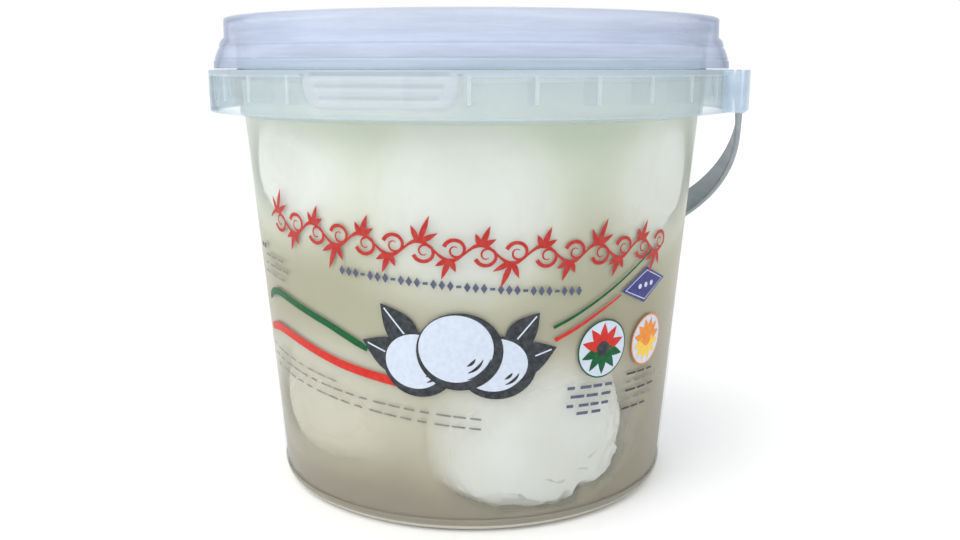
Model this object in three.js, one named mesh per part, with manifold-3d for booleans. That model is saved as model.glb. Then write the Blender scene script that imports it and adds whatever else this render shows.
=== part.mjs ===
// A round tub of mozzarella in whey, shut: a see-through moulded tub, its press-on lid,
// a bail handle that swings on two ears, and the five cheeses that show through the wall.
// Millimetres, +Z up. The origin is on the tub's axis, level with its feet. The tamper tab
// faces -Y and the handle's pivots lie over the X axis.

import * as THREE from "three";
import { mergeVertices } from "three/addons/utils/BufferGeometryUtils.js";
import Module from "manifold-3d";

const wasm = await Module();
wasm.setup();

// Driving dimensions
const COLLAR_DIAMETER = 133; // the widest round of the tub, which sets the size of the rest
const CLOSED_HEIGHT = 117.8; // feet to the top of the lid
const WALL = 1.2; // moulded plastic
const GAP = 0.3; // kept between pieces that touch
const SEGMENTS = 60; // sides of everything round about the tub's axis

// Tub
const BASE_RADIUS = 51.2; // where the outside of the wall would meet the floor
const TAPER = 7.7 / 95.5; // how much the radius grows for each mm up
const RIM_RADIUS = 59.9; // outside of the wall above the collar, where it stands upright
const RIM_HEIGHT = 116;
const RIM_BEAD = 0.9; // how far the bead stands out from the wall
const FOOT_RADIUS = 47.8; // where the flat of the feet ends and the outer corner begins
const FOOT_WIDTH = 4;
const FOOT_HEIGHT = 1;
const CORNER_RADIUS = 3.6; // outside, between wall and floor
const STACK_STEP_HEIGHT = 94.4; // above it the wall is a little wider, so that empty tubs nest
const STACK_STEP = 0.4;

// Collar: a flange on the wall, with a skirt that hangs from its edge and is braced by ribs
const COLLAR_RADIUS = COLLAR_DIAMETER / 2;
const COLLAR_TOP = 105.5;
const COLLAR_BOTTOM = 95.5;
const COLLAR_LIP_HEIGHT = 1.4; // thicker lower edge
const COLLAR_LIP = 0.7; // how much thicker
const RIB_COUNT = 30;
const RIB_THICKNESS = 1;
const RIB_BOTTOM = 98.2;

// Tamper tab: a field on the front of the skirt, outlined by a groove, with grip grooves in it
const TAB_WIDTH = 34.8; // along the skirt
const TAB_MIDDLE = 1.9; // how far round the skirt from the front, towards +X
const TAB_BOTTOM = 97.4;
const TAB_CORNER = 5;
const GROOVE_DEPTH = 0.5;
const GROOVE_WIDTH = 0.8;
const GRIP_GROOVES = 3;
const GRIP_PITCH = 2.4;
const GRIP_TOP = 104.4;

// Ears: a post on each side of the skirt, with a plate outside that keeps the handle on it and
// a return from the plate's front edge to the skirt, which is the stop for the swing
const PIVOT_HEIGHT = 101.2;
const POST_RADIUS = 2.5;
const PLATE_WIDTH = 20;
const PLATE_THICKNESS = 1;
const PLATE_OUTSIDE = 70; // from the tub's axis to the plate's outer face
const PLATE_CORNER = 1.2;

// Lid: an upturned channel over the rim, with a flared edge outside and a sunk panel inside
const LID_WALL = 1.1;
const LID_RING_RADIUS = 62.5;
const LID_SHOULDER_HEIGHT = 112.8;
const LID_SHOULDER_RADIUS = 63.5;
const LID_LINE_HEIGHT = 110.8; // a fine line round the flare
const LID_EDGE_RADIUS = 65.2;
const LID_EDGE_BOTTOM = 105.8;
const LID_EDGE_BAND = 1.8; // the upright band along the edge
const LID_PANEL_TOP = 110.4;
const LID_STEP_RADIUS = 42; // the middle of the panel is sunk a little more
const LID_STEP = 0.8;

// Handle: a flat strap bent to a U, with an eye at each end
const STRAP_THICKNESS = 1.4;
const ARM_WIDTH = 6; // the strap's width at the eyes
const GRIP_WIDTH = 8.7; // and round the bend
const WIDENING = 26; // distance over which it widens
const STRAP_INSIDE = 67.1; // half the distance between its arms
const ARM_LENGTH = 9;
const EYE_RADIUS = 4.3;
const EYE_CLEARANCE = 0.25;

// Cheeses, each with its place, its half sizes and its own unevenness
const BALL_DETAIL = 4;
const BALL_UNEVENNESS = 0.03;
const BALL_FULLNESS = 2.4; // 2 is an egg, and more is fuller, towards a drum
const BALLS = [
  {
    name: "ball_front_top",
    centre: [10.3, -34.4, 76],
    half: [22.5, 23.5, 24.5],
    lean: 4,
    phase: 0.4,
  },
  {
    name: "ball_front_bottom",
    centre: [17.4, -24.2, 24.8],
    half: [26.5, 26, 22],
    lean: -10,
    phase: 1.9,
  },
  {
    name: "ball_left_top",
    centre: [-17, -30, 82],
    half: [26, 23.5, 18.8],
    lean: 8,
    phase: 3.1,
  },
  {
    name: "ball_right_top",
    centre: [33, -10.2, 80.5],
    half: [24, 23, 20],
    lean: -8,
    phase: 4.6,
  },
  {
    name: "ball_left_bottom",
    centre: [-13, -27.2, 28.5],
    half: [27, 24.5, 22],
    lean: 0,
    phase: 5.8,
  },
];

const PLASTIC = new THREE.MeshStandardMaterial({
  color: 0xc4cfd0,
  roughness: 0.35,
  metalness: 0,
  transparent: true,
  opacity: 0.35,
});
const LID_PLASTIC = new THREE.MeshStandardMaterial({
  color: 0xbecbe4,
  roughness: 0.35,
  metalness: 0,
  transparent: true,
  opacity: 0.6,
});
const HANDLE_PLASTIC = new THREE.MeshStandardMaterial({
  color: 0x96a3a8,
  roughness: 0.4,
  metalness: 0,
});
const CHEESE = new THREE.MeshStandardMaterial({
  color: 0xe8e9e0,
  roughness: 0.45,
  metalness: 0,
});

// Radius of the wall's outside and inside at a height
function wallOutside(z) {
  return Math.min(BASE_RADIUS + TAPER * z, RIM_RADIUS);
}

function wallInside(z) {
  return wallOutside(z) - WALL;
}

// A closed geometry as a manifold-3d solid
function solidOf(geometry) {
  const bare = geometry.clone();
  bare.deleteAttribute("normal");
  bare.deleteAttribute("uv");
  const merged = mergeVertices(bare, 1e-4);
  const wanted = {
    numProp: 3,
    vertProperties: new Float32Array(merged.attributes.position.array),
    triVerts: new Uint32Array(merged.index.array),
  };
  return new wasm.Manifold(new wasm.Mesh(wanted));
}

function meshOf(name, solid, material) {
  const { numProp, vertProperties, triVerts } = solid.getMesh();
  const corners = new Float32Array((vertProperties.length / numProp) * 3);
  for (let i = 0; i < corners.length / 3; i++) {
    corners.set(vertProperties.subarray(i * numProp, i * numProp + 3), i * 3);
  }
  const geometry = new THREE.BufferGeometry();
  geometry.setAttribute("position", new THREE.BufferAttribute(corners, 3));
  geometry.setIndex(new THREE.BufferAttribute(new Uint32Array(triVerts), 1));
  geometry.computeVertexNormals();
  const mesh = new THREE.Mesh(geometry, material);
  mesh.name = name;
  return mesh;
}

// Turns a profile of [radius, height] points about the Z axis. Angle 0 is at -Y.
function revolved(profile) {
  const points = profile.map(([r, z]) => new THREE.Vector2(r, z));
  const geometry = new THREE.LatheGeometry(points, SEGMENTS);
  geometry.rotateX(Math.PI / 2);
  return solidOf(geometry);
}

// Points of a round corner in a profile, about a centre, from one angle to another
function corner(r, z, radius, fromDeg, toDeg, steps) {
  const points = [];
  for (let i = 0; i <= steps; i++) {
    const angle = THREE.MathUtils.degToRad(fromDeg + ((toDeg - fromDeg) * i) / steps);
    points.push([r + radius * Math.cos(angle), z + radius * Math.sin(angle)]);
  }
  return points;
}

function tubProfile() {
  const footInside = FOOT_RADIUS - FOOT_WIDTH;
  const floorTop = FOOT_HEIGHT + WALL;
  const slope = THREE.MathUtils.radToDeg(Math.atan(TAPER));
  const stepRadius = (z) => wallOutside(z) + STACK_STEP;
  const flangeBottom = COLLAR_TOP - WALL;
  const skirtInside = COLLAR_RADIUS - WALL;
  const beadBottom = RIM_HEIGHT - 2;
  const beadRadius = wallOutside(RIM_HEIGHT) + RIM_BEAD;
  return [
    [0, FOOT_HEIGHT],
    [footInside - 1, FOOT_HEIGHT],
    [footInside, 0],
    ...corner(FOOT_RADIUS, CORNER_RADIUS, CORNER_RADIUS, -90, -slope, 4),
    [wallOutside(STACK_STEP_HEIGHT), STACK_STEP_HEIGHT],
    [stepRadius(STACK_STEP_HEIGHT + 0.4), STACK_STEP_HEIGHT + 0.4],
    [stepRadius(flangeBottom), flangeBottom],
    [skirtInside, flangeBottom],
    [skirtInside, COLLAR_BOTTOM + COLLAR_LIP_HEIGHT],
    [skirtInside - COLLAR_LIP, COLLAR_BOTTOM + COLLAR_LIP_HEIGHT - COLLAR_LIP],
    [skirtInside - COLLAR_LIP, COLLAR_BOTTOM],
    [COLLAR_RADIUS - 0.3, COLLAR_BOTTOM],
    [COLLAR_RADIUS, COLLAR_BOTTOM + 0.3],
    [COLLAR_RADIUS, COLLAR_TOP - 0.5],
    [COLLAR_RADIUS - 0.5, COLLAR_TOP],
    [wallOutside(COLLAR_TOP), COLLAR_TOP],
    [wallOutside(beadBottom), beadBottom],
    [beadRadius, beadBottom + 0.5],
    [beadRadius, RIM_HEIGHT - 0.4],
    [beadRadius - 0.5, RIM_HEIGHT],
    [wallInside(RIM_HEIGHT), RIM_HEIGHT],
    [wallInside(RIM_HEIGHT), (RIM_RADIUS - BASE_RADIUS) / TAPER],
    [wallInside(floorTop + 1.6), floorTop + 1.6],
    [wallInside(floorTop) - 0.4, floorTop + 0.5],
    [wallInside(floorTop) - 1.6, floorTop],
    [0, floorTop],
  ];
}

// One brace between the wall and the skirt, at an angle from the front
function rib(angle) {
  const inner = wallOutside(RIB_BOTTOM) - WALL / 2;
  const outer = COLLAR_RADIUS - WALL / 2;
  const top = COLLAR_TOP - WALL / 2;
  const box = new THREE.BoxGeometry(RIB_THICKNESS, outer - inner, top - RIB_BOTTOM);
  box.translate(0, -(inner + outer) / 2, (top + RIB_BOTTOM) / 2);
  box.rotateZ(angle);
  return solidOf(box);
}

// A strip cut into the skirt's outside along a line of [distance round from the front, height]
function groove(line) {
  const curve = new THREE.CatmullRomCurve3(
    line.map(([s, z]) => new THREE.Vector3(s, z, 0)),
    false,
    "catmullrom",
    0.01,
  );
  const steps = 2 * line.length + 4;
  const strip = new THREE.BoxGeometry(1, GROOVE_WIDTH, 2 * GROOVE_DEPTH, steps, 1, 1);
  const corners = strip.attributes.position;
  for (let i = 0; i < corners.count; i++) {
    const along = THREE.MathUtils.clamp(corners.getX(i) + 0.5, 0, 1);
    const place = curve.getPointAt(along);
    const way = curve.getTangentAt(along);
    const s = place.x - way.y * corners.getY(i);
    const z = place.y + way.x * corners.getY(i);
    const radius = COLLAR_RADIUS + corners.getZ(i);
    const angle = s / COLLAR_RADIUS;
    corners.setXYZ(i, radius * Math.sin(angle), -radius * Math.cos(angle), z);
  }
  return solidOf(strip);
}

// The tab's outline: down one side, round the lower corners and up the other
function tabOutline() {
  const half = TAB_WIDTH / 2;
  const top = COLLAR_TOP - 0.9;
  const low = TAB_BOTTOM + TAB_CORNER;
  const inset = half - TAB_CORNER;
  const left = corner(-inset, low, TAB_CORNER, 180, 270, 5);
  const right = corner(inset, low, TAB_CORNER, 270, 360, 5);
  const bottom = [-0.5, 0, 0.5].map((share) => [inset * share, TAB_BOTTOM]);
  return [[-half, top], ...left, ...bottom, ...right, [half, top]];
}

function tabGrooves() {
  const lines = [tabOutline()];
  for (let i = 0; i < GRIP_GROOVES; i++) {
    const z = GRIP_TOP - i * GRIP_PITCH;
    const reach = TAB_WIDTH / 2 - 2.5 - 1.2 * i;
    const line = [-1, -0.5, 0, 0.5, 1].map((share) => [reach * share, z]);
    lines.push(line);
  }
  return lines.map((line) => groove(line.map(([s, z]) => [s + TAB_MIDDLE, z])));
}

function roundedPlate(width, height, radius, thickness) {
  const x = width / 2 - radius;
  const y = height / 2 - radius;
  const outline = new THREE.Shape();
  outline.absarc(x, y, radius, 0, Math.PI / 2, false);
  outline.absarc(-x, y, radius, Math.PI / 2, Math.PI, false);
  outline.absarc(-x, -y, radius, Math.PI, 1.5 * Math.PI, false);
  outline.absarc(x, -y, radius, 1.5 * Math.PI, 2 * Math.PI, false);
  const options = { depth: thickness, bevelEnabled: false, curveSegments: 3 };
  return new THREE.ExtrudeGeometry(outline, options);
}

// Post, keeper plate and its front return, on the +X side (side 1) or the -X side (side -1)
function ear(side) {
  const height = COLLAR_TOP - COLLAR_BOTTOM;
  const plate = roundedPlate(PLATE_WIDTH, height, PLATE_CORNER, PLATE_THICKNESS);
  plate.rotateX(Math.PI / 2);
  plate.rotateZ(Math.PI / 2);
  plate.translate(PLATE_OUTSIDE - PLATE_THICKNESS, 0, COLLAR_BOTTOM + height / 2);
  const from = COLLAR_RADIUS - WALL / 2;
  const to = PLATE_OUTSIDE - PLATE_THICKNESS / 2;
  const post = new THREE.CylinderGeometry(POST_RADIUS, POST_RADIUS, to - from, 20);
  post.rotateZ(Math.PI / 2);
  post.translate((from + to) / 2, 0, PIVOT_HEIGHT);
  const front = new THREE.BoxGeometry(to - from + WALL, PLATE_THICKNESS, height - 0.6);
  const reach = (PLATE_WIDTH - PLATE_THICKNESS) / 2;
  front.translate((from + to - WALL) / 2, -reach, COLLAR_BOTTOM + height / 2);
  const body = solidOf(plate).add(solidOf(post)).add(solidOf(front));
  return side > 0 ? body : body.mirror([1, 0, 0]);
}

function tub() {
  let body = revolved(tubProfile());
  for (let i = 0; i < RIB_COUNT; i++) {
    const angle = ((i + 0.5) * 2 * Math.PI) / RIB_COUNT;
    body = body.add(rib(angle));
  }
  for (const side of [1, -1]) {
    body = body.add(ear(side));
  }
  for (const cut of tabGrooves()) {
    body = body.subtract(cut);
  }
  return meshOf("tub", body, PLASTIC);
}

function lidProfile() {
  const channelTop = CLOSED_HEIGHT - LID_WALL;
  const panelBottom = LID_PANEL_TOP - LID_WALL;
  const plug = (z) => wallInside(z) - GAP;
  const stepTop = LID_PANEL_TOP - LID_STEP;
  return [
    [0, stepTop - LID_WALL],
    [LID_STEP_RADIUS - 0.5, stepTop - LID_WALL],
    [LID_STEP_RADIUS + 0.5, panelBottom],
    [plug(panelBottom) - 0.8, panelBottom],
    [plug(panelBottom + 0.8), panelBottom + 0.8],
    [plug(channelTop), channelTop],
    [LID_RING_RADIUS - LID_WALL, channelTop],
    [LID_RING_RADIUS - LID_WALL, LID_SHOULDER_HEIGHT - 0.7],
    [LID_SHOULDER_RADIUS - LID_WALL - 0.1, LID_LINE_HEIGHT + 0.5],
    [LID_SHOULDER_RADIUS - LID_WALL + 0.2, LID_LINE_HEIGHT - 0.6],
    [LID_EDGE_RADIUS - LID_WALL, LID_EDGE_BOTTOM],
    [LID_EDGE_RADIUS, LID_EDGE_BOTTOM],
    [LID_EDGE_RADIUS - 0.1, LID_EDGE_BOTTOM + LID_EDGE_BAND],
    [LID_EDGE_RADIUS - 0.5, LID_EDGE_BOTTOM + LID_EDGE_BAND + 0.3],
    [LID_SHOULDER_RADIUS + 0.5, LID_LINE_HEIGHT - 0.3],
    [LID_SHOULDER_RADIUS + 0.1, LID_LINE_HEIGHT],
    [LID_SHOULDER_RADIUS - 0.1, LID_SHOULDER_HEIGHT - 0.5],
    [LID_SHOULDER_RADIUS - 0.6, LID_SHOULDER_HEIGHT],
    [LID_RING_RADIUS, LID_SHOULDER_HEIGHT + 0.3],
    [LID_RING_RADIUS - 0.1, CLOSED_HEIGHT - 0.3],
    [LID_RING_RADIUS - 0.4, CLOSED_HEIGHT],
    [plug(CLOSED_HEIGHT) - 0.4, CLOSED_HEIGHT],
    [plug(channelTop) - LID_WALL, CLOSED_HEIGHT - 0.8],
    [plug(LID_PANEL_TOP + 1) - LID_WALL, LID_PANEL_TOP + 1],
    [plug(LID_PANEL_TOP) - LID_WALL - 1, LID_PANEL_TOP],
    [LID_STEP_RADIUS + 0.5, LID_PANEL_TOP],
    [LID_STEP_RADIUS - 0.5, stepTop],
    [0, stepTop],
  ];
}

function lid() {
  return meshOf("lid", revolved(lidProfile()), LID_PLASTIC);
}

// The strap's U, seen along its width: the arms run along +Y from the pivots on the X axis
function strapOutline() {
  const inside = STRAP_INSIDE;
  const outside = STRAP_INSIDE + STRAP_THICKNESS;
  const outline = new THREE.Shape();
  outline.moveTo(outside, 0);
  outline.lineTo(outside, ARM_LENGTH);
  outline.absarc(0, ARM_LENGTH, outside, 0, Math.PI, false);
  outline.lineTo(-outside, 0);
  outline.lineTo(-inside, 0);
  outline.lineTo(-inside, ARM_LENGTH);
  outline.absarc(0, ARM_LENGTH, inside, Math.PI, 0, true);
  outline.lineTo(inside, 0);
  outline.closePath();
  return outline;
}

function discOnX(radius, thickness, x) {
  const disc = new THREE.CylinderGeometry(radius, radius, thickness, 24);
  disc.rotateZ(Math.PI / 2);
  disc.translate(x, 0, 0);
  return solidOf(disc);
}

// Half the strap's width at a distance from the pivots
function halfWidth(distance) {
  const share = THREE.MathUtils.smoothstep(distance, 0, WIDENING);
  return THREE.MathUtils.lerp(ARM_WIDTH, GRIP_WIDTH, share) / 2;
}

// How far below level the handle hangs behind the tub when the lower edge of its bend is a gap
// from the wall: reach * cos - half * sin = wall radius + gap at the height of that edge
function droop() {
  const reach = STRAP_INSIDE + ARM_LENGTH;
  const half = GRIP_WIDTH / 2;
  const byCosine = reach + TAPER * half;
  const bySine = TAPER * reach - half;
  const room = wallOutside(PIVOT_HEIGHT) + GAP;
  return Math.atan2(bySine, byCosine) + Math.acos(room / Math.hypot(byCosine, bySine));
}

function handle() {
  const options = { depth: 2, bevelEnabled: false, curveSegments: 36 };
  const strap = new THREE.ExtrudeGeometry(strapOutline(), options);
  const corners = strap.attributes.position;
  for (let i = 0; i < corners.count; i++) {
    corners.setZ(i, (corners.getZ(i) - 1) * halfWidth(corners.getY(i)));
  }
  let body = solidOf(strap);
  const middle = STRAP_INSIDE + STRAP_THICKNESS / 2;
  for (const side of [1, -1]) {
    body = body.add(discOnX(EYE_RADIUS, STRAP_THICKNESS, side * middle));
    const hole = discOnX(POST_RADIUS + EYE_CLEARANCE, 3 * STRAP_THICKNESS, side * middle);
    body = body.subtract(hole);
  }
  const mesh = meshOf("handle", body, HANDLE_PLASTIC);
  mesh.rotation.x = -droop();
  mesh.position.z = PIVOT_HEIGHT;
  return mesh;
}

// Keeps a point of a soft cheese off the tub's wall and floor
function pressedByTub(point) {
  const floor = FOOT_HEIGHT + WALL + GAP;
  point.z = Math.max(point.z, floor);
  const cornerRoom = Math.max(0, floor + 2.5 - point.z);
  const room = wallInside(point.z) - GAP - 0.1 - cornerRoom;
  const radius = Math.hypot(point.x, point.y);
  if (radius > room) {
    point.x *= room / radius;
    point.y *= room / radius;
  }
}

// Keeps a point of one cheese on its own side of the flat where it meets another
function pressedBy(point, ball, other) {
  const centre = new THREE.Vector3(...ball.centre);
  const away = new THREE.Vector3(...other.centre).sub(centre);
  const distance = away.length();
  away.normalize();
  const reach = ball.half[0] + ball.half[2];
  const otherReach = other.half[0] + other.half[2];
  const limit = (distance * reach) / (reach + otherReach) - GAP;
  const over = point.clone().sub(centre).dot(away) - limit;
  if (over > 0) {
    point.addScaledVector(away, -over);
  }
}

// A hand-pulled ball: a full egg with slow swells, flat where it lies against the tub or others
function cheese(ball) {
  const geometry = new THREE.IcosahedronGeometry(1, BALL_DETAIL);
  const corners = geometry.attributes.position;
  const lean = new THREE.Euler(0, THREE.MathUtils.degToRad(ball.lean), 0);
  const point = new THREE.Vector3();
  for (let i = 0; i < corners.count; i++) {
    point.fromBufferAttribute(corners, i).normalize();
    const swell =
      Math.sin(2.3 * point.x + 1.7 * point.z + ball.phase) +
      Math.sin(2.9 * point.y - 2.1 * point.x + 2 * ball.phase) +
      0.6 * Math.sin(4.7 * point.z + 3.1 * point.y + 3 * ball.phase);
    const flat = Math.hypot(point.x, point.y) ** BALL_FULLNESS;
    const tall = Math.abs(point.z) ** BALL_FULLNESS;
    point.multiplyScalar((1 + BALL_UNEVENNESS * swell) / (flat + tall) ** (1 / BALL_FULLNESS));
    point.multiply(new THREE.Vector3(...ball.half)).applyEuler(lean);
    point.add(new THREE.Vector3(...ball.centre));
    for (const other of BALLS) {
      if (other !== ball) {
        pressedBy(point, ball, other);
      }
    }
    pressedByTub(point);
    corners.setXYZ(i, point.x, point.y, point.z);
  }
  return meshOf(ball.name, solidOf(geometry), CHEESE);
}

const pack = new THREE.Group();
pack.add(tub(), lid(), handle());
for (const ball of BALLS) {
  pack.add(cheese(ball));
}

export default pack;
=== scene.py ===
import math

import bmesh
import bpy
import numpy as np
from mathutils import Matrix, Vector, noise
from mathutils.bvhtree import BVHTree


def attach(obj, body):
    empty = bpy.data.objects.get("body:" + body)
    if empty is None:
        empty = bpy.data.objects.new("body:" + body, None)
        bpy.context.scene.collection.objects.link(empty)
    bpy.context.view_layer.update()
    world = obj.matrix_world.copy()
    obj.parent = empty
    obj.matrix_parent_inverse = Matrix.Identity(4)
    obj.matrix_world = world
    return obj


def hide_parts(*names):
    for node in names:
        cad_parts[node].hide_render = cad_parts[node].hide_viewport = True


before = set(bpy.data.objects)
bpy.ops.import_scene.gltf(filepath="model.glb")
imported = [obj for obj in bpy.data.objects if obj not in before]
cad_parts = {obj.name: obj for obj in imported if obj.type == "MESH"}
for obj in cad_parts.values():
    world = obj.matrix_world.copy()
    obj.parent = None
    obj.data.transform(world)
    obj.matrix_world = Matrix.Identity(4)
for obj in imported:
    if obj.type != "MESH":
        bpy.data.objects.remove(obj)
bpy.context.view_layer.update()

# Lengths are in millimetres, as in the CAD source, and MM brings them to metres.
# The tub's axis is Z, its front is at -Y, and angles grow from the front towards +X.
MM = 0.001

# Tub, as in the CAD source
BASE_RADIUS = 51.2
TAPER = 7.7 / 95.5
RIM_RADIUS = 59.9
WALL = 1.2
FLOOR_TOP = 2.2
FLOOR_CORNER = 3.8  # where the wall's inside turns in to the floor
FOOT_ROUND = 3.6
FOOT_INNER = 43.8  # the flat ring on which the tub stands
FOOT_OUTER = 47.8
FOOT_RECESS = 1.0
RIM_HEIGHT = 116.0
COLLAR_RADIUS = 66.5
COLLAR_TOP = 105.5
COLLAR_BOTTOM = 95.5
STEP_HEIGHT = 94.4
FLANGE_BOTTOM = COLLAR_TOP - WALL
PIVOT_HEIGHT = 101.2
RIB_COUNT = 30
RIB_BOTTOM = 98.2
TURN_STEPS = 320  # steps round the tub and the lid
EDGE_SHARE = 0.42  # the most of an edge that a rounded corner takes

# Ears: a post that carries the handle's eye, a keeper plate outside it, and the plate's return
POST_RADIUS = 2.5
KEEPER_INSIDE = 69.0
KEEPER_OUTSIDE = 70.0
KEEPER_HALF = 10.0
RETURN_INSIDE = 64.9
RETURN_THICKNESS = 1.0
RETURN_INSET = 0.15

# Tamper tab on the skirt
TAB_WIDTH = 34.8
TAB_MIDDLE = 1.9
TAB_BOTTOM = 97.4
TAB_CORNER = 5.0
TAB_TOP = 104.6
GROOVE_DEPTH = 0.5
GROOVE_WIDTH = 0.8
GRIP_HEIGHTS = (104.4, 102.0, 99.6)
GRIP_INSET = 2.5
GRIP_NARROWING = 1.2
TAB_SPAN = 19.2  # degrees to each side of the front that are meshed finely
TAB_STEP = 0.24

# Tones of the see-through plastic: the colour of what is milky in it, and the share of light
# that each face of it scatters
TONES = {
    "wall": ((208, 212, 208), 0.07),
    "foot": ((204, 200, 187), 0.85),
    # A darker milky band low on the wall: painted shade of the dim bottom of the tub
    "foot_band_painted_shade": ((160, 156, 141), 0.6),
    "collar": ((231, 239, 236), 0.27),
    # The skirt's bottom edge: milkier, and paler as a painted highlight along it
    "collar_edge_milk_and_highlight": ((206, 219, 228), 0.42),
    "flange": ((206, 220, 230), 0.6),
    "tab": ((215, 221, 229), 0.5),
    "web": ((190, 205, 216), 0.03),
    # Rib roots painted pale: partly the plastic's own milk, partly painted light, as scattered in
    # plastic seen edge-on
    "rib_line": ((236, 241, 244), 0.6),
    "ear": ((214, 231, 248), 0.5),
    "lid": ((220, 228, 248), 0.36),
    "lid_edge": ((192, 206, 222), 0.42),
    "strap": ((119, 134, 138), 0.93),
    # The strap's thin sides are painted lighter than its broad faces: a painted glow on sides that
    # face down into shade
    "strap_side_painted_glow": ((162, 169, 173), 0.93),
}
# Heights and radii where the tones change
FOOT_TONE_TOP = 1.8
FOOT_TOP_TONE_TOP = 4.8
LID_SKIRT_EDGE = 107.5
LID_BRIM_BOTTOM = 117.3
LID_BRIM_RADIUS = 58.0

# Handle
STRAP_THICKNESS = 1.4
STRAP_INSIDE = 67.1
ARM_WIDTH = 6.0
GRIP_WIDTH = 8.7
WIDENING = 26.0
ARM_LENGTH = 9.0
EYE_RADIUS = 4.3
EYE_HOLE = 2.75
HANDLE_GAP = 0.3
ARM_START = 3.4  # how far from the pivot the arm grows out of the eye's ring
STRAP_EDGE_ROUND = 0.45
THIN_SIDES = (2, 3, 4, 5, 6, 12, 13, 14, 15, 16)  # faces round its cross-section

# Whey and cheeses
WHEY_LEVEL = 102.6
WHEY_INTO_WALL = 0.6  # leaves about as much clear wall as the real one has
WHEY_CORNER = 2.4
CLEAR_DEPTHS = (2.7, 3.8)  # depth of whey, low down and high up, that hides two thirds
TORN_CLEAR_DEPTH = 4.6  # the same in front of torn skin
CLEAR_POWER = 1.4  # above 1, the first millimetres stay clearer
GLOW_REACH = 17.0
RAY_LENGTH = 60.0
# Rays inwards from the whey's outside: tilt in degrees, number of rays, weight for clearness
RAY_FAN = ((0, 1, 1.0), (24, 6, 0.25), (48, 10, 0.0))
CORE_RADIUS = 30.0  # nearer to the axis, the whey's surface has these shares throughout
CORE_CLOUD, CORE_GLOW = 0.97, 0.3
LEAST_CLOUD, MOST_CLOUD = 0.1, 0.99
WHEY_BLUR = 48  # rounds of smoothing over the whey, 4 to 5 mm in all
CHEESE_FLOOR = 2.5
CHEESE_CORNER = 2.5  # up to this far above its floor, a cheese keeps out of the tub's corner
WALL_GAP = 0.4  # from a cheese to the wall
MEETING_GAP = 0.3  # from a cheese to the flat where it meets another
BALL_DETAIL = 7
BALL_UNEVENNESS = 0.03
BALL_FULLNESS = 2.4
SKIN_GIVE = 0.8  # how softly the skin rounds off where something presses it
VEIL_GAIN = 0.28  # makes up for what the smoothing takes off the whey round a cheese
SOFT_VEIL = 0.36  # the least that the whey hides, away from torn skin
DENTS, FOLDS, THREADS, FLAKES = 0.55, 0.405, 0.16, 3.6  # heights of the skin's relief
FOLD_SPREAD = 0.22  # the skin folds where its noise is nearer to 0 than this
FLAKE_SPREAD = 0.3  # the same for flakes
FLAKES_FROM = 0.35  # cosine of the angle from the torn side at which flakes begin
SHARP_FROM, SHARP_BLEND = 0.25, 0.3  # the same for the whey's sharpness, and its blend
BALLS = {  # centre, half sizes, lean in degrees about Y, phase of the swells
    "front_top": ((10.3, -34.4, 76.0), (22.5, 23.5, 24.5), 4.0, 0.4),
    "front_bottom": ((17.4, -24.2, 24.8), (26.5, 26.0, 22.0), -10.0, 1.9),
    "left_top": ((-17.0, -30.0, 82.0), (26.0, 23.5, 18.8), 8.0, 3.1),
    "right_top": ((33.0, -10.2, 80.5), (24.0, 23.0, 20.0), -8.0, 4.6),
    "left_bottom": ((-13.0, -27.2, 28.5), (27.0, 24.5, 22.0), 0.0, 5.8),
}
TORN_SIDES = {"front_bottom": (0.62, -0.3, -0.72)}  # where a cheese was pulled off


def wall_outside(z):
    return min(BASE_RADIUS + TAPER * z, RIM_RADIUS)


def wall_inside(z):
    return wall_outside(z) - WALL


# -------- materials


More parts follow.
